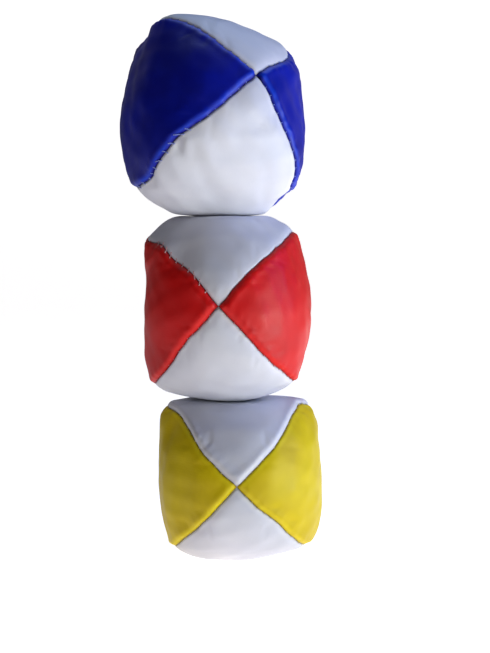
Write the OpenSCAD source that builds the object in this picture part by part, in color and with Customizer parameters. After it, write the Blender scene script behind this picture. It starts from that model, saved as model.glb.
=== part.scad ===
// Stack of beanbag juggling balls.
//
// Each ball is a cover of four lens-shaped panels sewn together from pole to pole round a millet filling.
// A panel is bent round the ball's width or its height and is nearly straight across, so the four together
// make a ball that is squarish when it is seen along its poles. The edges of a panel turn in along the seams
// as a seam allowance. The balls lie flat on each other, and the lowest one lies flat on its support.
//
// Frame: the origin is the middle of the bottom ball's rest face, +Z is up the stack, and the front poles
// point along -Y. Lengths are in millimetres and angles in degrees.

/* [Yellow ball, at the bottom] */
// Width of the yellow ball across its coloured panels
yellow_width = 58; // [54:0.5:64]
// Depth of the yellow ball from pole to pole
yellow_depth = 60; // [56:0.5:64]
// Height of the yellow ball before it is squashed flat where it rests
yellow_height = 61; // [58:0.5:66]
// Height of the yellow ball between its flats
yellow_rest_height = 56.5; // [54:0.5:57.5]
// Tilt of the front pole below the horizontal
yellow_pitch = -3; // [-8:1:8]
// Turn of the ball about its poles
yellow_roll = 0; // [-8:1:8]
// Turn of the ball about the vertical
yellow_yaw = -2; // [-12:1:12]
// Angle from the front pole to the middle of the seam that was closed by hand
yellow_closing = 124; // [37:1:143]

/* [Red ball, in the middle] */
// Width of the red ball across its coloured panels
red_width = 59; // [54:0.5:64]
// Depth of the red ball from pole to pole
red_depth = 60; // [56:0.5:64]
// Height of the red ball before it is squashed flat where it rests
red_height = 67; // [65:0.5:70]
// Height of the red ball between its flats
red_rest_height = 64; // [60:0.5:64.5]
// Tilt of the front pole below the horizontal
red_pitch = -4; // [-8:1:8]
// Turn of the ball about its poles
red_roll = 0; // [-8:1:8]
// Turn of the ball about the vertical
red_yaw = -5; // [-12:1:12]
// Angle from the front pole to the middle of the seam that was closed by hand
red_closing = 37; // [37:1:143]
// Sideways place of the red ball
red_x = -4.5; // [-6:0.5:0]

/* [Blue ball, at the top] */
// Width of the blue ball across its coloured panels
blue_width = 63; // [58:0.5:66]
// Depth of the blue ball from pole to pole
blue_depth = 63; // [58:0.5:66]
// Height of the blue ball before it is squashed flat where it rests
blue_height = 71; // [69:0.5:72]
// Height of the blue ball between its flats
blue_rest_height = 68.5; // [64:0.5:69]
// Height of the blue ball's centre above its lower flat
blue_centre_height = 34; // [31:0.5:34]
// Tilt of the front pole below the horizontal
blue_pitch = -21; // [-24:1:0]
// Turn of the ball about its poles
blue_roll = 8; // [-10:1:10]
// Turn of the ball about the vertical
blue_yaw = 26; // [0:1:30]
// Angle from the front pole to the middle of the seam that was closed by hand
blue_closing = 76; // [37:1:143]
// Sideways place of the blue ball
blue_x = -9.5; // [-11:0.5:0]

/* [Cover] */
// Thickness of the cloth-backed vinyl
panel_t = 1; // [0.8:0.1:1.4]
// Depth of the seam allowance that is turned in
allowance = 4.5; // [4:0.5:6]
// Radius of the curve across a panel, in ball radii: 1 makes a sphere, more makes squarer balls
cross_curve = 2; // [1.6:0.1:2.4]

/* [Stitching] */
// Spacing of the machine stitches along a seam
stitch_pitch = 3; // [2.6:0.2:4]
// Diameter of the sewing thread
thread_d = 0.5; // [0.4:0.05:0.6]
// Depth of the machine stitches below the cover's surface
stitch_depth = 2.4; // [2.2:0.1:3]
// Spacing of the hand stitches that close the filling gap
closing_pitch = 3; // [2.6:0.2:4]
// Number of hand stitches
closing_count = 10; // [6:1:12]
// Diameter of the hand-sewing thread
closing_d = 0.6; // [0.5:0.05:0.7]

/* [Hidden] */
$fn = 96;

NAMES = ["yellow", "red", "blue"];
PIECES = [
    "top_panel", "right_panel", "bottom_panel", "left_panel",
    "upper_right_seam_thread", "lower_right_seam_thread",
    "lower_left_seam_thread", "upper_left_seam_thread",
    "closing_thread", "millet_filling"
];

// Radius that every ball is drawn at before it is scaled to its own width, depth and height
r0 = 30;
// Space between a panel and its neighbour, between the filling and the cover, and between the filling's
// core and the turned-in edges
seam_gap = 0.05;
fill_gap = 0.1;
core_gap = 1;
// Space between the flats of two balls that lie on each other
rest_gap = 0.1;
// Angle from each pole where a seam's machine stitching ends
seam_end = 8;
// Where a hand stitch goes into a panel: its depth below the cover's surface, its distance from the seam,
// and how far it leans along the seam, as a share of the pitch
whip_depth = 0.6;
whip_side = 2;
whip_lean = 0.2;
// Height of a hand stitch's middle line where it crosses over the seam's edge
whip_rise = 0.125;
// Two strands that meet differ in diameter by this much, so that their surfaces cross cleanly
strand_step = 0.05;
// Longer than any ball, for the shapes that cut
reach = 60;
thread_colour = "gainsboro";

yellow_lo = 0;
yellow_hi = yellow_lo + yellow_rest_height;
red_lo = yellow_hi + rest_gap;
red_hi = red_lo + red_rest_height;
blue_lo = red_hi + rest_gap;
blue_hi = blue_lo + blue_rest_height;

// Fields of a ball
NAME = 0;
COLOUR = 1;
SIZE = 2;
TILT = 3;
CENTRE = 4;
FLATS = 5;
CLOSING_SEAM = 6;
CLOSING_ANGLE = 7;
BALLS = [
    ["yellow", "gold", [yellow_width, yellow_depth, yellow_height],
        [yellow_pitch, yellow_roll, yellow_yaw],
        [0, 0, yellow_rest_height / 2], [yellow_lo, yellow_hi], 3, yellow_closing],
    ["red", "firebrick", [red_width, red_depth, red_height],
        [red_pitch, red_roll, red_yaw],
        [red_x, 0, red_lo + red_rest_height / 2], [red_lo, red_hi], 3, red_closing],
    ["blue", "mediumblue", [blue_width, blue_depth, blue_height],
        [blue_pitch, blue_roll, blue_yaw],
        [blue_x, 0, blue_lo + blue_centre_height], [blue_lo, blue_hi], 2, blue_closing]
];

// Distance from the ball's centre to its seam, at an angle from the front pole, at the drawn radius.
// The seam lies at 45 degrees between two panels, on the arc that each panel has across it.
function seam_distance(angle, depth) =
    let (
        across = sin(angle) * sqrt(0.5),
        up = sqrt(1 - across * across),
        arc_r = cross_curve * r0 - depth,
        offset = (cross_curve - 1) * r0
    )
    -offset * up + sqrt(pow(offset * up, 2) + arc_r * arc_r - offset * offset);

// How far a panel's surface falls for each millimetre away from a seam's edge, at an angle from the front
// pole: the two panels meet in a ridge that is sharpest half-way between the poles
function edge_fall(angle) =
    let (across = sin(angle) * sqrt(0.5))
    (1 - 1 / cross_curve) * sqrt(0.5) * across / sqrt(1 - across * across);

// A point near a seam, in the ball's own size: at an angle from the front pole, at a depth below the
// cover's surface, and at a distance to one side of the seam's plane
function near_seam(ball, seam, angle, depth, side) =
    let (
        turn = 45 + 90 * seam,
        out = seam_distance(angle, depth) * sin(angle),
        back = -seam_distance(angle, depth) * cos(angle),
        p = [out * sin(turn) + side * cos(turn), back, out * cos(turn) - side * sin(turn)]
    )
    [for (axis = [0 : 2]) p[axis] * ball[SIZE][axis] / (2 * r0)];

// Puts a shape in a ball's own place, turned as the ball lies
module placed(ball) {
    translate(ball[CENTRE])
        rotate(ball[TILT])
            children();
}

// The space between the ball's flats, less an inset from each
module between_flats(ball, inset) {
    lo = ball[FLATS][0] + inset;
    hi = ball[FLATS][1] - inset;
    translate([-reach, -reach, lo])
        cube([2 * reach, 2 * reach, hi - lo]);
}

// A barrel about the X axis: bent round the axis, and gently curved along it
module barrel(inset) {
    rotate([0, 90, 0])
        rotate_extrude()
            intersection() {
                translate([-(cross_curve - 1) * r0, 0])
                    circle(r = cross_curve * r0 - inset, $fn = 2 * $fn);
                translate([0, -reach])
                    square([2 * reach, 2 * reach]);
            }
}

// The quarter of space above both seam planes, moved in from each of them
module quarter(inset) {
    translate([0, reach, inset * sqrt(2)])
        rotate([90, 0, 0])
            linear_extrude(2 * reach)
                polygon([[0, 0], [reach, reach], [-reach, reach]]);
}

// One quarter of a ball's body, under the panel on that side: 0 top, 1 right, 2 bottom, 3 left
module sector(ball, side, surface_inset, seam_inset) {
    intersection() {
        placed(ball)
            scale(ball[SIZE] / (2 * r0))
                rotate([0, 90 * side, 0])
                    intersection() {
                        barrel(surface_inset);
                        quarter(seam_inset);
                    }
        between_flats(ball, surface_inset);
    }
}

// A panel of the cover, with its seam allowance turned in along both of its seams
module panel(ball, side) {
    color(side % 2 == 0 ? "whitesmoke" : ball[COLOUR])
        difference() {
            sector(ball, side, 0, seam_gap);
            sector(ball, side, panel_t, panel_t + seam_gap);
            sector(ball, side, allowance, 0);
        }
}

// A piece of thread between two points
module strand(from, to, d) {
    way = to - from;
    translate(from)
        rotate([0, acos(way.z / norm(way)), atan2(way.y, way.x)])
            cylinder(d = d, h = norm(way));
}

// Angle about the ball from one stitch to the next
function step_angle(pitch) = pitch / r0 * 180 / PI;

// Machine stitching along one seam: the thread crosses the two turned-in edges at each stitch, and runs
// along one side and then the other. seam 0 is upper right, 1 lower right, 2 lower left, 3 upper left.
module seam_thread(ball, seam) {
    gap_half = closing_count * step_angle(closing_pitch) / 2;
    if (seam == ball[CLOSING_SEAM]) {
        machine_run(ball, seam, seam_end, ball[CLOSING_ANGLE] - gap_half);
        machine_run(ball, seam, ball[CLOSING_ANGLE] + gap_half, 180 - seam_end);
    } else
        machine_run(ball, seam, seam_end, 180 - seam_end);
}

// One unbroken run of machine stitches along a seam, if there is room for two of them
module machine_run(ball, seam, from, to) {
    step = step_angle(stitch_pitch);
    count = floor((to - from) / step);
    side = panel_t + seam_gap + thread_d / 2;
    if (count > 0)
        color(thread_colour)
            placed(ball)
                for (i = [0 : count]) {
                    here = from + i * step;
                    lie = i % 2 == 0 ? side : -side;
                    strand(near_seam(ball, seam, here, stitch_depth, -side - thread_d / 2),
                        near_seam(ball, seam, here, stitch_depth, side + thread_d / 2), thread_d);
                    if (i < count)
                        strand(near_seam(ball, seam, here, stitch_depth, lie),
                            near_seam(ball, seam, here + step, stitch_depth, lie), thread_d - strand_step);
                }
}

// Hand stitching that closes the gap in one seam that the filling went in by: slanting whip stitches, each
// over the seam's edge and down through both panels
module closing_thread(ball) {
    step = step_angle(closing_pitch);
    first = ball[CLOSING_ANGLE] - (closing_count - 1) * step / 2;
    seam = ball[CLOSING_SEAM];
    color(thread_colour)
        placed(ball)
            for (i = [0 : closing_count - 1]) {
                here = first + i * step;
                lean = whip_lean * step;
                depth = whip_depth + whip_side * edge_fall(here);
                over = near_seam(ball, seam, here, -whip_rise, 0);
                strand(near_seam(ball, seam, here - lean, depth, -whip_side), over, closing_d);
                strand(near_seam(ball, seam, here + lean, depth, whip_side), over, closing_d - strand_step);
            }
}

// The millet inside the cover, as the space that it fills: a core, and a lobe under each panel
module filling(ball) {
    beside_seam = panel_t + seam_gap + thread_d + fill_gap;
    color("burlywood")
        union() {
            intersection() {
                placed(ball)
                    scale(ball[SIZE] / (2 * r0))
                        sphere(r = r0 - allowance - core_gap);
                between_flats(ball, allowance + fill_gap);
            }
            for (side = [0 : 3])
                sector(ball, side, panel_t + fill_gap, beside_seam);
        }
}

for (ball = BALLS) {
    p = str(ball[NAME], "_ball_");
    panel(ball, 0);
    panel(ball, 1);
    panel(ball, 2);
    panel(ball, 3);
    seam_thread(ball, 0);
    seam_thread(ball, 1);
    seam_thread(ball, 2);
    seam_thread(ball, 3);
    closing_thread(ball);
    filling(ball);
}
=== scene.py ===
"""The looks of a stack of beanbag juggling balls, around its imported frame.

Each ball is worked out in its own frame, in millimetres: the front pole is at -Y and the top panel at +Z.
The panels are numbered round the ball, 0 top, 1 right, 2 bottom and 3 left, and seam n joins panels n and
n + 1. A panel is a square grid of s and t from 0 to 1, with the front pole at (0, 0) and the back one at
(1, 1): two of the square's edges are one of its seams, and the other two are the other.
"""

import math

import bpy
import numpy as np
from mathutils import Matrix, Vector


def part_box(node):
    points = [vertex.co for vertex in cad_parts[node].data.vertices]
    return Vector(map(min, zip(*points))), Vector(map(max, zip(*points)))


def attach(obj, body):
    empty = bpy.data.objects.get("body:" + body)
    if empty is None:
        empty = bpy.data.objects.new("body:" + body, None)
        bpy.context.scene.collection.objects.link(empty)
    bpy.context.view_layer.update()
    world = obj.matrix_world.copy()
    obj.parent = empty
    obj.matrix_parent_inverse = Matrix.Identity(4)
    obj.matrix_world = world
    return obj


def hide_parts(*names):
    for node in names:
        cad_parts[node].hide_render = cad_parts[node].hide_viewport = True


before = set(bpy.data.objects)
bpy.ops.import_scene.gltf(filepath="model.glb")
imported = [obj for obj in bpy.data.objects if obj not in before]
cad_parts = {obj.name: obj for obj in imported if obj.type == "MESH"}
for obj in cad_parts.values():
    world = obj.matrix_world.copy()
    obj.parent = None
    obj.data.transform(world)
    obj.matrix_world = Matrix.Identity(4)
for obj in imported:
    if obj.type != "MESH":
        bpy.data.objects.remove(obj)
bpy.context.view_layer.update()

MM = 0.001
SIDES = ("top", "right", "bottom", "left")
SEAMS = ("upper_right", "lower_right", "lower_left", "upper_left")
QUARTER = math.pi / 2
CROSS_CURVE = 2.0  # radius of the curve across a panel, in ball radii

# The cover, in mm
THICKNESS = 0.9
ALLOWANCE = 3.4  # depth of the edge that is turned in
ALLOWANCE_ROWS = (0.35, 0.9, 1.7, 2.6, ALLOWANCE)  # depths of the mesh's rows down the turned-in edge
CREASE = 0.9  # depth of the valley along a seam
DEEPEST_CREASE = 1.5  # the most that the valley may be, in creases
PROUD_ROLL, LOW_ROLL = 2.2, 0.9  # how wide a panel's edge rolls over into the valley
PROUD_RIM, RIM_FROM_SEAM, RIM_WIDTH = 0.42, 2.3, 1.5  # the raised edge over the folded allowances
LOW_DIP, LOW_DIP_WIDTH = 0.3, 2.2  # how the panel on the other side of the seam dips
PULL_IN, PULL_IN_WIDTH = 0.22, 3.5  # how the stitching pulls both panels in
PUCKER = 0.16  # how much deeper the valley is at a stitch, as a share
LUMPS = ((0.28, 26), (0.14, 9))  # height and breadth of the filling's lumps under the cover
PANEL_LENGTH, PANEL_WIDTH = 95, 47  # a panel's size along the ball and across it, for the weave
PANEL_EDGE, POLE_EDGE = 50, 60  # length of an edge of a panel's grid, and its rate near a pole
SEAM_SLOPE = 0.92  # turns a distance from a seam's plane into one along the cover, which slopes there
EDGE_LINES = (0, 0.12, 0.28, 0.5, 0.8, 1.15, 1.6, 2.15, 2.8, 3.6, 4.5)  # grid lines beside a seam
MIDDLE_LINES = 60

# The cloth simulation, which gathers the seams and blows the cover up
CLOTH_SIZE_UP = 20  # times life size, where the solver is steady
CLOTH_FRAMES = 20
CLOTH = dict(
    quality=5,
    mass=0.3,
    tension_stiffness=25,
    compression_stiffness=25,
    shear_stiffness=8,
    bending_stiffness=0.4,
    use_pressure=True,
    uniform_pressure_force=4,
    shrink_min=-0.015,
    shrink_max=0.06,
)
SWELLING_PASSES = 60  # rounds of smoothing that find the broad swelling, which is taken out again
PUCKER_CAP = 0.9  # the most that a pucker may move the cover, in mm
PUCKER_SHARE = 0.35  # how much of the simulation's puckers the stretched vinyl shows

# The stitching, in mm
STITCH_PITCH_DEG = 5.73  # 3 mm along the seam, as an angle from pole to pole
SEAM_END = 8  # where machine stitching starts and ends, in degrees from a pole
MACHINE_REACH, MACHINE_RADIUS = 0.3, 0.14  # how far a machine stitch shows from the seam, and its thread
MACHINE_SAG = 0.5  # how far a stitch's middle sinks from the edges to the valley's floor, as a share
MACHINE_SINK = 0.2  # how far a stitch's ends go into the panels
HIDDEN_SIDE, HIDDEN_DEPTH = 0.5, 1.9  # where the thread runs on behind the edge to the next stitch
CLOSING_COUNT = 10  # stitches by hand
CLOSING_HALF = CLOSING_COUNT * STITCH_PITCH_DEG / 2
CLOSING_RADIUS = 0.18
CLOSING_SAG = 0.2  # as for the machine stitches
CLOSING_RISE, CLOSING_SINK = 0.05, 1.2  # how high a hand stitch lies on the panels, and how far it goes in
CLOSING_STRAY = 0.35  # how far a hand stitch strays from its even place, in degrees
SLANT, SLANT_SPREAD = 0.13, 0.06  # a hand stitch's slant, as a share of the pitch, and how it varies
REACH_LEFT, REACH_LEFT_SPREAD = 0.45, 0.08  # how far it reaches over the left panel, and how that varies
REACH_RIGHT, REACH_RIGHT_SPREAD = 0.55, 0.15
THREAD_TIP = 0.55  # radius of a thread's end, as a share

# The filling, in mm
FILLING_N = 84  # grid squares along a panel's edge
FILLING_GAP = 0.25  # space under the cover
GROOVE_SHY, GROOVE_WIDTH = 0.4, 1.9  # how much shallower than the allowance the groove is, and its width
GRAIN_SIZE, GRAIN_SINK, GRAIN_HEIGHT = 2.6, 0.18, 0.12

# Each ball: width, depth and height in mm, turn about X, Y and Z, heights of its flats, the seam that was
# closed by hand and the angle of its middle from the front pole, and which panel's edge is proud at each seam
BALLS = {
    "yellow": dict(
        size=(58, 60, 61), tilt=(-3, 0, -2), flats=(0, 56.5),
        closing=3, middle=124, proud=(0, 1, 3, 0), seed=4,
    ),
    "red": dict(
        size=(59, 60, 67), tilt=(-4, 0, -5), flats=(56.6, 120.6),
        closing=3, middle=37, proud=(1, 1, 3, 3), seed=11,
    ),
    "blue": dict(
        size=(63, 63, 71), tilt=(-21, 8, 26), flats=(120.7, 189.2),
        closing=2, middle=76, proud=(1, 1, 3, 3), seed=23,
    ),
}
FLAT_ROUND = 0.7  # how gently the cover meets its flats, in mm

# Where one ball settles into the other: the two that touch, and the place in X and Y, in mm
CONTACTS = (("yellow", "red", (-2, 0)), ("red", "blue", (-7, 0)))
SAUCERS = [
    (level, place)
    for lower, upper, place in CONTACTS
    for level in (BALLS[lower]["flats"][1], BALLS[upper]["flats"][0])
]
SAUCER_DEPTH, SAUCER_RADIUS, SAUCER_FADE = 1.3, 8, 6

# Dents and bulges, in the stack's frame: where, how far the cover moves right, back and up,
# and over what radius, in mm
PUSHES = {
    "yellow": [
        ((-27, 0, 54), (-3.2, 0, 0.5), 8),
        ((26, 4, 53), (2.8, 0, 0.5), 8),
        ((29, 0, 32), (-0.5, 0, 0), 10),
        ((27, 0, 11), (2.0, 0, 0.0), 8),
        ((15, -5, 0), (0, 0, 1.8), 9),
        ((-24, -9, 51), (1.0, 0, 0.8), 7),
        ((23, -4, 55), (-3.8, 2.0, 1.8), 6),
        ((15, -20, 48), (-0.8, 0, 0.3), 4),
        ((19, -13, 51), (-1.8, 0, 0.2), 4),
        ((13, -25, 15), (0.6, 0, 1.2), 8),
        ((-25, -13, 48), (1.0, 1.4, 0), 4),
    ],
    "red": [
        ((-31, 0, 112), (-1.6, 0, 0.4), 9),
        ((-31, 0, 66), (-1.6, 0, -0.8), 9),
        ((-34, 0, 86), (0.5, 0, 0), 16),
        ((25, 0, 84), (0.2, 0, 0), 14),
        ((-31, -6, 113), (-2.0, 0, -4.2), 6),
        ((16, -13, 112), (0, 0, -1.6), 8),
        ((-20, -25, 76), (0.4, 0, 1.2), 7),
        ((15, -15, 65), (0.5, 0, 1.2), 7),
        ((-19, -21, 107), (0.3, 1.5, -0.3), 4),
        ((-25, -17, 108), (0, -0.8, 0), 3),
        ((-22, -19, 107), (-1.2, 0, -1.4), 4.5),
        ((-30, -4, 114), (-2.0, 0, -0.6), 3),
        ((-31, 4, 113), (1.2, 0, 0), 5),
        ((-29, 9, 115), (-1.6, 0, -1.8), 7),
        ((-7, 0, 120), (0, 0, 2.8), 11),
        ((-7, -14, 119), (0, -1.2, 1.0), 7),
        ((-27, 4, 118), (0, 0, 1.2), 6),
        ((10, 0, 119), (0, 0, 0.2), 6),
        ((17, 0, 117), (0, 0, -0.8), 4),
        ((26, 0, 104), (-0.8, 0, 0), 9),
        ((-33, 0, 103), (0.8, 0, 0), 7),
        ((16, 0, 62), (0, 0, 1.5), 6),
    ],
    "blue": [
        ((-34, 0, 185), (2.6, 0, -0.4), 10),
        ((2, 0, 187), (0, 0, -1.8), 12),
        ((8, 0, 183), (0, 0, -0.9), 8),
        ((20, 0, 138), (0.4, 0, 0), 14),
        ((21, 4, 130), (1.6, 0, 0), 8),
        ((-39, 0, 145), (-0.4, 0, 0), 14),
        ((-32, 0, 128), (1.2, 0, 1.0), 6),
        ((-26, 0, 121), (-0.8, 0, -0.5), 8),
        ((-20, -33, 142), (-1.2, 0, 3.0), 8),
        ((5, -26, 166), (1.6, 0, 0.5), 6),
        ((14, -12, 174), (2.4, 0, -2.0), 7),
        ((20, 0, 176), (0.6, 0, -2.8), 6),
        ((15, -14, 124), (-1.2, -1.6, 0.0), 6),
        ((20, -14, 138), (1.3, 0, 0), 6),
        ((-30, -22, 134), (1.6, 0, 0.3), 3),
        ((-19.6, -31, 144.5), (0, 0.8, 0), 1.2),
        ((-19.2, -31, 142), (0, 0.9, 0), 1.2),
        ((-17.2, -32, 143), (0, -0.5, 0), 1.4),
        ((-7, 0, 121), (0, 0, -2.8), 11),
        ((-8, -19, 122), (0, 3.6, 0), 7),
        ((5, 0, 121), (0, 0, -1.6), 5),
        ((-19, 0, 121), (0, 0, -0.8), 5),
        ((12, 0, 124), (0, 0, 1.8), 4),
        ((16, -3, 127), (0, 0, 2.2), 5),
        ((-40, 0, 165), (0.8, 0, 0), 12),
        ((-36, 0, 141), (-0.8, 0, 0), 5),
        ((-34, 0, 182), (1.0, 0, -1.2), 4),
        ((-9, 0, 188), (0, 0, -0.7), 5),
    ],
}


def ball_centre(name):
    """The ball's centre in mm, from its two coloured panels, which nothing flattens."""
    low_l, high_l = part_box(f"{name}_ball_left_panel")
    low_r, high_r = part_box(f"{name}_ball_right_panel")
    low = np.minimum(np.array(low_l), np.array(low_r))
    high = np.maximum(np.array(high_l), np.array(high_r))
    return (low + high) / 2 / MM


def turning(tilt):
    """The matrix that turns X, then Y, then Z, by degrees."""
    x, y, z = (math.radians(a) for a in tilt)
    rx = np.array([[1, 0, 0], [0, math.cos(x), -math.sin(x)], [0, math.sin(x), math.cos(x)]])
    ry = np.array([[math.cos(y), 0, math.sin(y)], [0, 1, 0], [-math.sin(y), 0, math.cos(y)]])
    rz = np.array([[math.cos(z), -math.sin(z), 0], [math.sin(z), math.cos(z), 0], [0, 0, 1]])
    return rz @ ry @ rx


def direction(theta, alpha):
    """A unit vector at an angle from the front pole, and about it from the top towards the right."""
    return np.stack([np.sin(theta) * np.sin(alpha), -np.cos(theta), np.sin(theta) * np.cos(alpha)], -1)


def angles(s, t, side):
    """A grid point's angle from the front pole, and about it."""
    back = s + t > 1
    s, t = np.where(back, 1 - t, s), np.where(back, 1 - s, t)
    u = s + t
    about = np.where(u > 1e-9, t / np.maximum(u, 1e-9), 0.5)
    theta = np.where(back, math.pi - u * QUARTER, u * QUARTER)
    return theta, (side - 0.5 + about) * QUARTER


def barrel(theta, alpha, side):
    """A point of a panel of a ball of radius 1."""
    d = direction(theta, alpha)
    across = d[..., 0] if side % 2 == 0 else d[..., 2]
    up = np.sqrt(1 - across * across)
    shift = CROSS_CURVE - 1
    r = -shift * up + np.sqrt((shift * up) ** 2 + CROSS_CURVE**2 - shift**2)
    return d * r[..., None]


def waves(p, scale_mm, seed, count=14):
    """A smooth random vector field over points p: each component is between about -1 and 1."""
    rng = np.random.default_rng(seed)
    out = np.zeros(p.shape)
    for _ in range(count):
        k = rng.normal(size=3)
        k *= (0.7 + 0.8 * rng.random()) * 2 * math.pi / (scale_mm * np.linalg.norm(k))
        out += np.sin(p @ k + rng.random() * 2 * math.pi)[..., None] * rng.normal(size=3)
    return out / math.sqrt(count)


def cubic_matrix(at, n):
    """Weights that read a grid of n + 1 even samples on 0..1 at other places, by a smooth cubic."""
    weights = np.zeros((len(at), n + 1))
    for row, x in enumerate(np.clip(at, 0, 1) * n):
        i = min(int(x), n - 1)
        f = x - i
        taps = (
            -0.5 * f + f * f - 0.5 * f**3,
            1 - 2.5 * f * f + 1.5 * f**3,
            0.5 * f + 2 * f * f - 1.5 * f**3,
            -0.5 * f * f + 0.5 * f**3,
        )
        for tap, w in enumerate(taps):
            weights[row, min(max(i + tap - 1, 0), n)] += w
    return weights


def welded_panels(n):
    """The four panels' grids as one mesh: the grid points that are kept, where each grid point ends up among
    them, and the faces."""
    ids = np.arange(4 * (n + 1) ** 2).reshape(4, n + 1, n + 1)
    for side in range(4):
        after = (side + 1) % 4
        ids[side, 0, :] = ids[after, :, 0]
        ids[side, :, n] = ids[after, n, :]
    ids[:, 0, 0] = ids[0, 0, 0]
    ids[:, n, n] = ids[0, n, n]
    keep, joined = np.unique(ids, return_inverse=True)
    joined = joined.reshape(ids.shape)
    faces = []
    for g in joined:
        faces += np.stack([g[:-1, :-1], g[:-1, 1:], g[1:, 1:], g[1:, :-1]], -1).reshape(-1, 4).tolist()
    return keep, joined, faces


class Ball:
    """The cover of one ball, as a surface that can be read anywhere."""

    SIM_N = 36  # grid squares along a panel's edge in the cloth simulation

    def __init__(self, name):
        b = BALLS[name]
        self.name = name
        self.half = np.array(b["size"]) / 2
        self.turn = turning(b["tilt"])
        self.centre = ball_centre(name)
        self.flats = b["flats"]
        self.closing = b["closing"]
        self.middle = b["middle"]
        self.proud = b["proud"]
        self.seed = b["seed"]
        self.shift = np.zeros((4, self.SIM_N + 1, self.SIM_N + 1, 3))
        self.shift = self.simulate()

    def base(self, s, t, side):
        """A point of a panel in the ball's own frame, before anything shapes it."""
        return barrel(*angles(s, t, side), side) * self.half

    def simulate(self):
        """Blows the sewn cover up as cloth, with its seams gathered, and keeps the puckers that it makes."""
        n = self.SIM_N
        line = np.linspace(0, 1, n + 1)
        s, t = np.meshgrid(line, line, indexing="ij")
        points = np.stack([self.base(s, t, side) for side in range(4)])
        keep, joined, faces = welded_panels(n)
        verts = points.reshape(-1, 3)[keep]
        seam_ids = set(joined[:, 0, :].ravel()) | set(joined[:, :, n].ravel())
        moved = self.blow_up(verts, faces, sorted(int(i) for i in seam_ids))
        return moved[joined] - points

    def blow_up(self, verts, faces, seam_ids):
        """Runs the cloth, larger than life, and returns where its puckers leave the points, in mm."""
        size_up = CLOTH_SIZE_UP * MM
        mesh = bpy.data.meshes.new("cloth")
        mesh.from_pydata((verts * size_up).tolist(), [], faces)
        obj = bpy.data.objects.new("cloth", mesh)
        bpy.context.scene.collection.objects.link(obj)
        group = obj.vertex_groups.new(name="seams")
        group.add(seam_ids, 1.0, "REPLACE")
        cloth = obj.modifiers.new("cloth", "CLOTH").settings
        cloth.vertex_group_shrink = group.name
        for setting, value in CLOTH.items():
            setattr(cloth, setting, value)
        cloth.effector_weights.gravity = 0
        scene = bpy.context.scene
        scene.frame_start, scene.frame_end = 1, CLOTH_FRAMES
        for f in range(1, CLOTH_FRAMES + 1):
            scene.frame_set(f)
        done = obj.evaluated_get(bpy.context.evaluated_depsgraph_get()).data
        co = np.empty(len(done.vertices) * 3, np.float32)
        done.vertices.foreach_get("co", co)
        scene.frame_set(1)
        bpy.data.objects.remove(obj)
        bpy.data.meshes.remove(mesh)
        co = co.reshape(-1, 3).astype(float) / size_up
        return self.puckers_only(verts, co, faces)

    @staticmethod
    def puckers_only(verts, moved, faces):
        """Takes the broad swelling out of the movement, caps the rest, and returns where the points end."""
        shift = moved - verts
        f = np.array(faces)
        pairs = np.concatenate([f[:, [0, 1]], f[:, [1, 2]], f[:, [2, 3]], f[:, [3, 0]]])
        count = np.zeros(len(verts))
        np.add.at(count, pairs[:, 0], 1)
        np.add.at(count, pairs[:, 1], 1)
        broad = shift.copy()
        for _ in range(SWELLING_PASSES):
            total = np.zeros_like(broad)
            np.add.at(total, pairs[:, 0], broad[pairs[:, 1]])
            np.add.at(total, pairs[:, 1], broad[pairs[:, 0]])
            broad = 0.5 * broad + 0.5 * total / count[:, None]
        fine = shift - broad
        length = np.linalg.norm(fine, axis=1)
        fine *= PUCKER_SHARE * np.minimum(1, PUCKER_CAP / np.maximum(length, 1e-9))[:, None]
        return verts + fine

    def seam_distance(self, p, side):
        """How far points of a panel are from its two seams, in mm, before the edges roll over."""
        q = p / self.half
        x, y, z = q[..., 0], q[..., 1], q[..., 2]
        out, across = ((z, x), (x, -z), (-z, -x), (-x, z))[side]
        scale = self.half.mean() / math.sqrt(2) / SEAM_SLOPE
        return (out + across) * scale, (out - across) * scale

    def surface(self, s, t, side, grid=False, sink=0.0):
        """Points of the cover in the stack's frame, in mm, sunk below its surface by a depth. With grid, s
        and t are the lines of a grid."""
        n = self.SIM_N
        ws, wt = cubic_matrix(s, n), cubic_matrix(t, n)
        shift = self.shift[side]
        if grid:
            shift = np.einsum("ai,ijk,bj->abk", ws, shift, wt)
            s, t = np.meshgrid(s, t, indexing="ij")
        else:
            shift = np.einsum("ai,ijk,aj->ak", ws, shift, wt)
        theta, _ = angles(s, t, side)
        p = self.base(s, t, side)
        stitch = 0.5 + 0.5 * np.cos(np.degrees(theta) / STITCH_PITCH_DEG * 2 * math.pi)
        depth = np.zeros(theta.shape)
        for seam, d in zip(((side + 3) % 4, side), self.seam_distance(p, side)):
            proud = self.proud[seam] == side
            k = np.clip(1 - d / (PROUD_ROLL if proud else LOW_ROLL), 0, 1)
            depth += CREASE * (1 - np.sqrt(np.maximum(1 - k * k, 0))) * (1 + PUCKER * stitch)
            depth += PULL_IN * np.exp(-d / PULL_IN_WIDTH) * (0.6 + 0.4 * stitch)
            if proud:
                rim = np.exp(-(((d - RIM_FROM_SEAM) / RIM_WIDTH) ** 2))
                depth -= PROUD_RIM * rim * (1.1 - 0.3 * stitch)
            else:
                depth += LOW_DIP * np.exp(-((d / LOW_DIP_WIDTH) ** 2))
        depth = np.minimum(depth, CREASE * DEEPEST_CREASE)
        inward = -p / np.linalg.norm(p, axis=-1, keepdims=True)
        p = p + shift + inward * (depth + sink)[..., None]
        (broad, broad_mm), (fine, fine_mm) = LUMPS
        p = p + broad * waves(p, broad_mm, self.seed) + fine * waves(p, fine_mm, self.seed + 1)
        p = p @ self.turn.T + self.centre
        p = self.push(p)
        return self.rest(p, sink)

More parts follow.
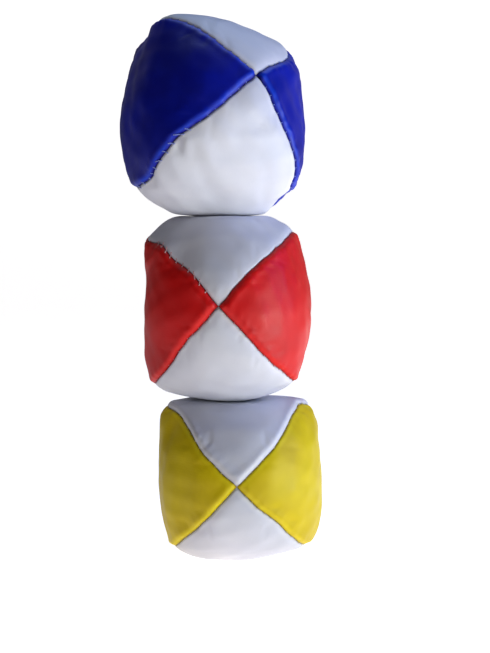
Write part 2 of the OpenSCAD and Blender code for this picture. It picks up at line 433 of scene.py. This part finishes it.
    def push(self, p):
        """Dents and bulges the cover at the listed places."""
        for at, move, radius in PUSHES[self.name]:
            fall = np.exp(-(((p - at) ** 2).sum(-1)) / (2 * radius * radius))
            p = p + fall[..., None] * np.array(move, float)
        return p

    def rest(self, p, sink):
        """Flattens the cover against its flats, with a small round where it meets them, and lets each ball
        that lies on another settle into it."""
        low, high = self.flats[0] + sink, self.flats[1] - sink
        z = p[..., 2]
        z = high - FLAT_ROUND * np.logaddexp(0, (high - z) / FLAT_ROUND)
        z = low + FLAT_ROUND * np.logaddexp(0, (z - low) / FLAT_ROUND)
        for level, (x, y) in SAUCERS:
            if level in self.flats:
                spread = ((p[..., 0] - x) ** 2 + (p[..., 1] - y) ** 2) / (2 * SAUCER_RADIUS**2)
                z = z - SAUCER_DEPTH * np.exp(-spread - ((z - level) / SAUCER_FADE) ** 2)
        p = p.copy()
        p[..., 2] = z
        return p


def graded_lines():
    """Grid lines over a panel, close together by its edges."""
    edge = np.array(EDGE_LINES) / PANEL_EDGE
    middle = np.linspace(edge[-1], 1 - edge[-1], MIDDLE_LINES)
    return np.concatenate([edge[:-1], middle, (1 - edge[:-1])[::-1]])


def add_mesh(name, verts, faces, material):
    """A smooth mesh in the scene, from points in metres."""
    mesh = bpy.data.meshes.new(name)
    mesh.from_pydata(verts, [], faces)
    mesh.materials.append(material)
    mesh.shade_smooth()
    obj = bpy.data.objects.new(name, mesh)
    bpy.context.scene.collection.objects.link(obj)
    return obj


def new_object(name, verts_mm, faces, material):
    """The same, from points in mm."""
    return add_mesh(name, (np.asarray(verts_mm) * MM).tolist(), faces, material)


def towards_centre(ball, p):
    """The directions from points to the middle of a ball."""
    inward = ball.centre - p
    return inward / np.linalg.norm(inward, axis=-1, keepdims=True)


def panel_mesh(ball, side, material):
    """One panel of the cover: its outside, then its edges turned in along the seams, given a thickness."""
    lines = graded_lines()
    n = len(lines)
    outer = ball.surface(lines, lines, side, grid=True)
    s, t = np.meshgrid(lines, lines, indexing="ij")
    near, far = ball.seam_distance(ball.base(s, t, side), side)
    seam_mm = np.minimum(near, far)
    theta, alpha = angles(s, t, side)
    along = (theta / math.pi - 0.5) * PANEL_LENGTH
    across = np.sin(theta) * (alpha / QUARTER - side) * PANEL_WIDTH
    pattern = np.stack([across, along], -1).reshape(-1, 2)
    verts = outer.reshape(-1, 3)
    ids = np.arange(n * n).reshape(n, n)
    quads = np.stack([ids[:-1, :-1], ids[:-1, 1:], ids[1:, 1:], ids[1:, :-1]], -1).reshape(-1, 4)
    faces = quads.tolist()
    rim = np.concatenate([ids[:, 0], ids[-1, 1:], ids[-2::-1, -1], ids[0, -2:0:-1]])
    turned = [rim]
    rows = [verts]
    inward = towards_centre(ball, verts[rim])
    for depth in ALLOWANCE_ROWS:
        turned.append(sum(len(r) for r in rows) + np.arange(len(rim)))
        rows.append(verts[rim] + inward * depth)
    for a, b in zip(turned, turned[1:]):
        ring = np.stack([a, np.roll(a, -1), np.roll(b, -1), b], -1)
        faces += ring[:, ::-1].tolist()
    everything = np.concatenate(rows)
    name = f"{ball.name}_ball_{SIDES[side]}_panel_cover"
    obj = new_object(name, everything, faces, material)
    mesh = obj.data
    extra = len(everything) - n * n
    seam = mesh.attributes.new("seam_mm", "FLOAT", "POINT")
    seam.data.foreach_set("value", np.concatenate([seam_mm.ravel(), np.zeros(extra)]).astype(np.float32))
    cut = np.concatenate([pattern] + [pattern[rim]] * len(ALLOWANCE_ROWS))
    loops = np.empty(len(mesh.loops), np.int32)
    mesh.loops.foreach_get("vertex_index", loops)
    uv = mesh.uv_layers.new(name="cut")
    uv.data.foreach_set("uv", cut[loops].astype(np.float32).ravel())
    gap = obj.modifiers.new("thickness", "SOLIDIFY")
    gap.thickness = THICKNESS * MM
    gap.offset = -1
    gap.use_even_offset = False
    return obj


def filling_mesh(ball, material):
    """The millet: it fills the cover, with a groove where each seam's edges are turned in."""
    line = np.linspace(0, 1, FILLING_N + 1)
    s, t = np.meshgrid(line, line, indexing="ij")
    sides = []
    for side in range(4):
        seam_mm = np.minimum(*ball.seam_distance(ball.base(s, t, side), side))
        groove = (ALLOWANCE - GROOVE_SHY) * np.exp(-((seam_mm / GROOVE_WIDTH) ** 2))
        under = THICKNESS + FILLING_GAP + groove
        sides.append(ball.surface(line, line, side, grid=True, sink=under))
    keep, _, faces = welded_panels(FILLING_N)
    verts = np.stack(sides).reshape(-1, 3)[keep]
    grains = waves(verts, GRAIN_SIZE, ball.seed + 3, 24)[:, :1]
    verts = verts + towards_centre(ball, verts) * (GRAIN_SINK + GRAIN_HEIGHT * grains)
    return new_object(f"{ball.name}_ball_millet", verts, faces, material)


# ---- stitching ----


def seam_spot(seam, angle, off_mm, right):
    """Grid place of a spot beside a seam: its angle from the front pole in degrees, and its distance into the
    panel on one side of the seam. right is False for the panel of the seam's own number."""
    side = (seam + 1) % 4 if right else seam
    tau = angle / 90
    reach_mm = PANEL_EDGE if 45 < angle < 135 else POLE_EDGE
    off = off_mm / reach_mm
    if right:
        return side, (tau, off) if tau <= 1 else (1 - off, tau - 1)
    return side, (off, tau) if tau <= 1 else (tau - 1, 1 - off)


def beside_seam(ball, seam, angle, off_mm, right):
    """A point of the cover beside a seam, in the stack's frame, in mm."""
    side, (s, t) = seam_spot(seam, angle, off_mm, right)
    return ball.surface(np.array([s]), np.array([t]), side)[0]


def smooth_path(points, per_piece):
    """A Catmull-Rom curve through the points."""
    p = np.asarray(points, float)
    p = np.concatenate([[2 * p[0] - p[1]], p, [2 * p[-1] - p[-2]]])
    out = []
    for i in range(1, len(p) - 2):
        for k in range(per_piece):
            f = k / per_piece
            out.append(
                0.5 * (2 * p[i] + (p[i + 1] - p[i - 1]) * f
                       + (2 * p[i - 1] - 5 * p[i] + 4 * p[i + 1] - p[i + 2]) * f**2
                       + (3 * p[i] - p[i - 1] - 3 * p[i + 1] + p[i + 2]) * f**3)
            )
    out.append(p[-2])
    return np.array(out)


def tube(path, radius, sides):
    """Points and faces of a closed tube along a path, narrower at its ends."""
    tangents = np.gradient(path, axis=0)
    tangents /= np.maximum(np.linalg.norm(tangents, axis=1, keepdims=True), 1e-9)
    normal = np.cross(tangents[0], [0.3, 0.5, 0.81])
    verts, faces = [], []
    turn = np.arange(sides) * 2 * math.pi / sides
    for i, (c, t) in enumerate(zip(path, tangents)):
        normal = normal - t * (normal @ t)
        normal /= np.linalg.norm(normal)
        other = np.cross(t, normal)
        r = radius * (THREAD_TIP if i in (0, len(path) - 1) else 1.0)
        verts.append(c + r * (np.cos(turn)[:, None] * normal + np.sin(turn)[:, None] * other))
    for i in range(len(path) - 1):
        a, b = i * sides, (i + 1) * sides
        for k in range(sides):
            m = (k + 1) % sides
            faces.append([a + k, a + m, b + m, b + k])
    last = (len(path) - 1) * sides
    faces.append(list(range(sides))[::-1])
    faces.append(list(range(last, last + sides)))
    return np.concatenate(verts), faces


def join_tubes(tubes):
    """Tubes as one mesh's points and faces."""
    verts, faces, base = [], [], 0
    for v, f in tubes:
        verts.append(v)
        faces += [[i + base for i in face] for face in f]
        base += len(v)
    return np.concatenate(verts), faces


def machine_runs(ball, seam):
    """The stretches of a seam that are sewn by machine, as angles from the front pole."""
    if seam != ball.closing:
        return [(SEAM_END, 180 - SEAM_END)]
    runs = [(SEAM_END, ball.middle - CLOSING_HALF), (ball.middle + CLOSING_HALF, 180 - SEAM_END)]
    return [(a, b) for a, b in runs if b - a > STITCH_PITCH_DEG]


def machine_thread(ball, seam, material):
    """Machine stitching: a thread that crosses the valley at each stitch and runs on behind the edge."""
    tubes = []
    for first, last in machine_runs(ball, seam):
        count = int((last - first) / STITCH_PITCH_DEG)
        points = []
        for i in range(count + 1):
            angle = first + i * STITCH_PITCH_DEG
            crease = beside_seam(ball, seam, angle, 0.0, False)
            left = beside_seam(ball, seam, angle, MACHINE_REACH, False)
            right = beside_seam(ball, seam, angle, MACHINE_REACH, True)
            inward = towards_centre(ball, crease)
            top = (left + right) / 2 * (1 - MACHINE_SAG) + crease * MACHINE_SAG
            stitch = [left + inward * MACHINE_SINK, top, right + inward * MACHINE_SINK]
            if i % 2:
                stitch = stitch[::-1]
            across = stitch[-1] - stitch[0]
            across /= np.linalg.norm(across)
            points += stitch
            if i < count:
                ahead = beside_seam(ball, seam, angle + STITCH_PITCH_DEG, 0.0, False) - crease
                hidden = stitch[-1] + across * HIDDEN_SIDE + inward * HIDDEN_DEPTH
                points += [hidden + ahead * 0.3, hidden + ahead * 0.7]
        tubes.append(tube(smooth_path(points, 3), MACHINE_RADIUS, 6))
    verts, faces = join_tubes(tubes)
    return new_object(f"{ball.name}_ball_{SEAMS[seam]}_stitching", verts, faces, material)


def hand_thread(ball, material):
    """The hand stitches that close the seam: slanting loops over both edges."""
    tubes = []
    rng = np.random.default_rng(ball.seed + 7)
    for i in range(CLOSING_COUNT):
        angle = ball.middle + (i - (CLOSING_COUNT - 1) / 2) * STITCH_PITCH_DEG
        angle += rng.normal() * CLOSING_STRAY
        slant = STITCH_PITCH_DEG * (SLANT + SLANT_SPREAD * rng.normal())
        reach_l = REACH_LEFT + REACH_LEFT_SPREAD * rng.normal()
        reach_r = REACH_RIGHT + REACH_RIGHT_SPREAD * rng.normal()
        left = beside_seam(ball, ball.closing, angle - slant, reach_l, False)
        right = beside_seam(ball, ball.closing, angle + slant, reach_r, True)
        crease = beside_seam(ball, ball.closing, angle, 0.0, False)
        inward = towards_centre(ball, crease)
        middle = (left + right) / 2
        points = [
            left + inward * CLOSING_SINK,
            left - inward * CLOSING_RISE,
            middle * (1 - CLOSING_SAG) + crease * CLOSING_SAG - inward * CLOSING_RISE,
            right - inward * CLOSING_RISE,
            right + inward * CLOSING_SINK,
        ]
        tubes.append(tube(smooth_path(points, 5), CLOSING_RADIUS, 8))
    verts, faces = join_tubes(tubes)
    return new_object(f"{ball.name}_ball_closing_stitches", verts, faces, material)


# ---- materials ----

# Depths of the relief that the materials add, in metres
WEAVE_DEPTH, GRAIN_DEPTH, PORE_DEPTH, RIPPLE_DEPTH = 0.00003, 0.00004, 0.00002, 0.00012
TWIST_DEPTH, MILLET_DEPTH = 0.00005, 0.0008


def srgb(r, g, b):
    """A linear colour from sRGB values of 0 to 255."""
    out = []
    for c in (r, g, b):
        c /= 255
        out.append(c / 12.92 if c <= 0.04045 else ((c + 0.055) / 1.055) ** 2.4)
    return (*out, 1.0)


class Shader:
    """A material's node tree, with short calls for the nodes that the materials share."""

    def __init__(self, name):
        self.material = bpy.data.materials.new(name)
        self.material.use_nodes = True
        self.tree = self.material.node_tree
        self.bsdf = self.tree.nodes["Principled BSDF"]
        self.coords = self.add("ShaderNodeTexCoord")

    def add(self, kind, inputs=None, **settings):
        n = self.tree.nodes.new(kind)
        for key, value in settings.items():
            setattr(n, key, value)
        for key, value in (inputs or {}).items():
            self.put(n.inputs[key], value)
        return n

    def put(self, socket, value):
        if isinstance(value, bpy.types.NodeSocket):
            self.tree.links.new(value, socket)
        else:
            socket.default_value = value

    def set(self, **inputs):
        for key, value in inputs.items():
            self.put(self.bsdf.inputs[key.replace("_", " ")], value)

    def noise(self, scale, detail=2.0, rough=0.5):
        place = self.coords.outputs["Object"]
        return self.add(
            "ShaderNodeTexNoise",
            {"Vector": place, "Scale": scale, "Detail": detail, "Roughness": rough},
        ).outputs["Fac"]

    def ramp(self, value, low, high, to_low=0.0, to_high=1.0):
        return self.add(
            "ShaderNodeMapRange",
            {"Value": value, "From Min": low, "From Max": high, "To Min": to_low, "To Max": to_high},
        ).outputs["Result"]

    def mix(self, factor, a, b, kind="MIX"):
        n = self.add("ShaderNodeMix", data_type="RGBA", blend_type=kind)
        self.put(n.inputs[0], factor)
        self.put(n.inputs[6], a)
        self.put(n.inputs[7], b)
        return n.outputs[2]

    def math(self, kind, a, b):
        n = self.add("ShaderNodeMath", operation=kind)
        self.put(n.inputs[0], a)
        self.put(n.inputs[1], b)
        return n.outputs[0]

    def bump(self, height, distance, strength, normal=None):
        n = self.add("ShaderNodeBump", {"Height": height, "Distance": distance, "Strength": strength})
        if normal is not None:
            self.put(n.inputs["Normal"], normal)
        return n.outputs["Normal"]


def vinyl(name, base, deep, edge, roughness, weave, shine):
    """Soft coated cloth: fine grain, faint weave lines along the panel, painted shade in the seams' creases
    and a painted highlight on the edges beside them. base and deep are its two mottled colours, and edge is
    the colour of the painted highlight, beside a seam."""
    m = Shader(name)
    base, deep, edge = srgb(*base), srgb(*deep), srgb(*edge)
    seam = m.add("ShaderNodeAttribute", attribute_name="seam_mm").outputs["Fac"]
    mottled = m.mix(m.ramp(m.noise(55, 3.0), 0.35, 0.65), base, deep)
    # painted shade: within 0.35 mm of a seam, and on the turned-in edges, the colour darkens to a dark copy
    # of the deep colour
    crease = m.ramp(seam, 0.0, 0.35, 0.0, 1.0)
    # painted highlight: a band from 0.4 to 2.6 mm beside each seam, strongest at 1 mm, turns in blotches
    # towards the lighter edge colour
    painted_edge_highlight = m.math("MULTIPLY", m.ramp(seam, 0.4, 1.0), m.ramp(seam, 2.6, 1.0))
    painted_edge_highlight = m.math("MULTIPLY", painted_edge_highlight, m.ramp(m.noise(160, 2.0), 0.3, 0.7, 0.15, 0.7))
    with_painted_highlight = m.mix(painted_edge_highlight, mottled, edge)
    painted_crease_shade = tuple(c * 0.45 for c in deep[:3]) + (1.0,)
    m.set(Base_Color=m.mix(crease, painted_crease_shade, with_painted_highlight))
    grain = m.add(
        "ShaderNodeTexVoronoi",
        {"Vector": m.coords.outputs["Object"], "Scale": 1900, "Randomness": 0.9},
        feature="SMOOTH_F1",
    ).outputs["Distance"]
    pores = m.noise(3200, 2.0, 0.6)
    along = m.coords.outputs["UV"]
    wave = m.add(
        "ShaderNodeTexWave",
        {"Vector": along, "Scale": 0.36, "Distortion": 1.2, "Detail": 2.0, "Detail Scale": 0.4},
        bands_direction="X",
    ).outputs["Fac"]
    patch = m.ramp(m.noise(70, 2.0), 0.42, 0.62, 0.15, 1.0)
    normal = m.bump(m.math("MULTIPLY", wave, patch), WEAVE_DEPTH, weave)
    normal = m.bump(grain, GRAIN_DEPTH, 0.35, normal)
    normal = m.bump(pores, PORE_DEPTH, 0.4, normal)
    normal = m.bump(m.noise(240, 3.0), RIPPLE_DEPTH, 0.5, normal)
    rough = m.ramp(m.noise(90, 3.0), 0.3, 0.7, roughness - 0.05, roughness + 0.07)
    m.set(Roughness=m.mix(crease, (0.8, 0.8, 0.8, 1), rough), Normal=normal)
    m.set(Specular_IOR_Level=shine)
    return m.material


def thread_material(name, colour, dark):
    """Spun thread: a fine twist, and a little fuzz in its sheen."""
    m = Shader(name)
    colour, dark = srgb(*colour), srgb(*dark)
    twist = m.add(
        "ShaderNodeTexWave",
        {"Vector": m.coords.outputs["Object"], "Scale": 900, "Distortion": 2.0, "Detail": 1.0},
        bands_direction="DIAGONAL",
    ).outputs["Fac"]
    m.set(Base_Color=m.mix(m.ramp(twist, 0.0, 0.6), dark, colour), Roughness=0.8, Sheen_Weight=0.3)
    m.set(Normal=m.bump(twist, TWIST_DEPTH, 0.7))
    return m.material


def millet_material():
    """Packed millet: small round grains, each its own tone, with painted shade in the gaps between them."""
    m = Shader("millet")
    cells = m.add("ShaderNodeTexVoronoi", {"Vector": m.coords.outputs["Object"], "Scale": 520})
    shade = m.ramp(m.add("ShaderNodeSeparateColor", {"Color": cells.outputs["Color"]}).outputs[0], 0.0, 1.0)
    grain = m.mix(shade, srgb(196, 150, 74), srgb(231, 196, 120))
    # painted shade: the gaps between the grains are darkened towards dark brown
    gap = m.ramp(cells.outputs["Distance"], 0.35, 0.75)
    m.set(Base_Color=m.mix(gap, grain, srgb(70, 44, 16)), Roughness=0.5)
    m.set(Normal=m.bump(m.ramp(cells.outputs["Distance"], 0.0, 0.7, 1.0, 0.0), MILLET_DEPTH, 1.0))
    return m.material


# The third colour of each vinyl is its painted highlight on the edges beside the seams.
WHITE_VINYL = vinyl(
    "white_vinyl", (224, 225, 233), (214, 216, 226), (236, 236, 241), roughness=0.45, weave=0.06, shine=0.4
)
VINYLS = {
    "yellow": vinyl(
        "yellow_vinyl", (230, 205, 5), (216, 188, 3), (252, 234, 40), roughness=0.46, weave=0.2, shine=0.28
    ),
    "red": vinyl(
        "red_vinyl", (226, 16, 16), (208, 11, 12), (248, 48, 40), roughness=0.44, weave=0.2, shine=0.3
    ),
    "blue": vinyl(
        "blue_vinyl", (5, 23, 166), (3, 13, 138), (20, 78, 236), roughness=0.42, weave=0.2, shine=0.28
    ),
}
THREADS = {
    "yellow": thread_material("pale_ochre_thread", (226, 214, 150), (168, 152, 80)),
    "red": thread_material("pink_thread", (218, 130, 134), (150, 62, 68)),
    "blue": thread_material("light_blue_thread", (126, 146, 220), (60, 78, 164)),
}
CLOSING_THREADS = {
    "yellow": thread_material("cream_thread", (232, 224, 180), (190, 178, 120)),
    "red": thread_material("pink_white_thread", (232, 196, 198), (196, 120, 124)),
    "blue": thread_material("pale_blue_thread", (150, 166, 232), (84, 100, 186)),
}
MILLET = millet_material()


# ---- the balls ----


def build_ball(name):
    """One ball: its cover, its stitching and its filling."""
    ball = Ball(name)
    body = f"{name}_ball"
    for side, where in enumerate(SIDES):
        white = side % 2 == 0
        panel = panel_mesh(ball, side, WHITE_VINYL if white else VINYLS[name])
        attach(panel, body)
        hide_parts(f"{name}_ball_{where}_panel")
    for seam, where in enumerate(SEAMS):
        stitching = machine_thread(ball, seam, THREADS[name])
        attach(stitching, body)
        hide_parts(f"{name}_ball_{where}_seam_thread")
    closing = hand_thread(ball, CLOSING_THREADS[name])
    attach(closing, body)
    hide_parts(f"{name}_ball_closing_thread")
    millet = filling_mesh(ball, MILLET)
    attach(millet, body)
    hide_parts(f"{name}_ball_millet_filling")


for ball_name in BALLS:
    build_ball(ball_name)


# ---- the floor, lights and camera ----

FLOOR_GLOW, FLOOR_SHOWN = 1.23, 0.92  # the light that the floor gives by the key, and how it looks
FLOOR_DIM = 0.28  # the light that it gives on the far side from the key, as a share of that
GLOW_TINT, SHOWN_TINT = (1.0, 0.92, 0.845, 1), (1.0, 0.99, 0.98, 1)
FLOOR_RADIUS, FLOOR_DEPTH, FLOOR_WIDTH, FLOOR_HEIGHT = 0.5, 1.6, 4.0, 2.5
FLOOR_FRONT, FLOOR_STEPS = -3.0, 16
SKY, SKY_SHOWN = (0.03, 0.03, 0.03, 1), (0.97, 0.97, 0.97, 1)

# Each light: where it is, where it points, its width and height in metres, its power in watts and its colour
LIGHTS = {
    "key": ((0.37, -0.20, 0.045), (0, 0, 0.08), 0.26, 0.08, 0.756, (0.9, 1.0, 0.91)),
    "overhead": ((0.05, 0.15, 0.8), (0, 0, 0.15), 0.5, 0.5, 1.775, (0.57, 0.74, 1.0)),
    "window": ((0.6, -0.1, 0.35), (0, 0, 0.1), 0.3, 0.5, 1.389, (0.02, 0.16, 1.0)),
}

CAMERA_PLACE = (0.00185, -0.45, 0.120)
CAMERA_DOWN = 4.9  # degrees below level
CAMERA_LENS, CAMERA_SENSOR = 70.9, 36  # mm


def seen(shader, lit, shown):
    """A colour or strength that is lit for the light that a surface gives, and shown for how it looks itself,
    from any side."""
    camera_ray = shader.add("ShaderNodeLightPath").outputs["Is Camera Ray"]
    return shader.mix(camera_ray, lit, shown)


def stage_material():
    """A pale floor that glows a little on the key light's side, as a bright table top does."""
    m = Shader("pale_floor")
    place = m.add("ShaderNodeSeparateXYZ", {"Vector": m.coords.outputs["Object"]})
    flat = m.ramp(place.outputs["Z"], 0.0, 0.02, 1.0, 0.0)
    glow = m.ramp(place.outputs["X"], -0.2, 0.2, FLOOR_DIM * FLOOR_GLOW, FLOOR_GLOW)
    glow = m.math("MULTIPLY", glow, flat)
    m.set(Base_Color=m.mix(m.noise(3, 1.0), (0.75, 0.75, 0.75, 1), (0.73, 0.735, 0.74, 1)), Roughness=0.9)
    m.set(Emission_Color=seen(m, GLOW_TINT, SHOWN_TINT))
    m.set(Emission_Strength=seen(m, glow, (FLOOR_SHOWN,) * 3 + (1,)))
    return m.material


def backdrop():
    """A pale floor that curves up into a wall behind."""
    bend = FLOOR_DEPTH - FLOOR_RADIUS
    profile = [(FLOOR_FRONT, 0.0), (bend, 0.0)]
    for i in range(1, FLOOR_STEPS + 1):
        a = i / FLOOR_STEPS * QUARTER
        profile.append((bend + FLOOR_RADIUS * math.sin(a), FLOOR_RADIUS - FLOOR_RADIUS * math.cos(a)))
    profile.append((FLOOR_DEPTH, FLOOR_HEIGHT))
    verts = [(x, y, z) for y, z in profile for x in (-FLOOR_WIDTH, FLOOR_WIDTH)]
    faces = [(2 * i, 2 * i + 1, 2 * i + 3, 2 * i + 2) for i in range(len(profile) - 1)]
    obj = add_mesh("pale_floor", verts, faces, stage_material())


def area_light(name, place, aim, width, height, watts, colour):
    """A soft rectangular light that doesn't show itself."""
    light = bpy.data.lights.new(name, "AREA")
    light.shape = "RECTANGLE"
    light.size = width
    light.size_y = height
    light.energy = watts
    light.color = colour
    obj = bpy.data.objects.new(name, light)
    obj.location = place
    obj.rotation_euler = (Vector(aim) - Vector(place)).to_track_quat("-Z", "Y").to_euler()
    obj.visible_camera = False
    bpy.context.scene.collection.objects.link(obj)


def sky():
    """Dim grey light from all round, which shows as a near white background."""
    world = bpy.data.worlds.new("soft_studio")
    bpy.context.scene.world = world
    world.use_nodes = True
    tree = world.node_tree
    colour = tree.nodes["Background"].inputs["Color"]
    ray = tree.nodes.new("ShaderNodeLightPath").outputs["Is Camera Ray"]
    mix = tree.nodes.new("ShaderNodeMix")
    mix.data_type = "RGBA"
    tree.links.new(ray, mix.inputs[0])
    mix.inputs[6].default_value = SKY
    mix.inputs[7].default_value = SKY_SHOWN
    tree.links.new(mix.outputs[2], colour)


def camera():
    """A camera in front of the stack, a little above its middle."""
    data = bpy.data.cameras.new("camera")
    data.lens = CAMERA_LENS
    data.sensor_width = CAMERA_SENSOR
    data.clip_start = 0.01
    obj = bpy.data.objects.new("camera", data)
    obj.location = CAMERA_PLACE
    obj.rotation_euler = (math.radians(90 - CAMERA_DOWN), 0, 0)
    bpy.context.scene.collection.objects.link(obj)
    bpy.context.scene.camera = obj


backdrop()
for light_name, settings in LIGHTS.items():
    area_light(light_name, *settings)
sky()
bpy.context.scene.view_settings.view_transform = "Standard"
camera()
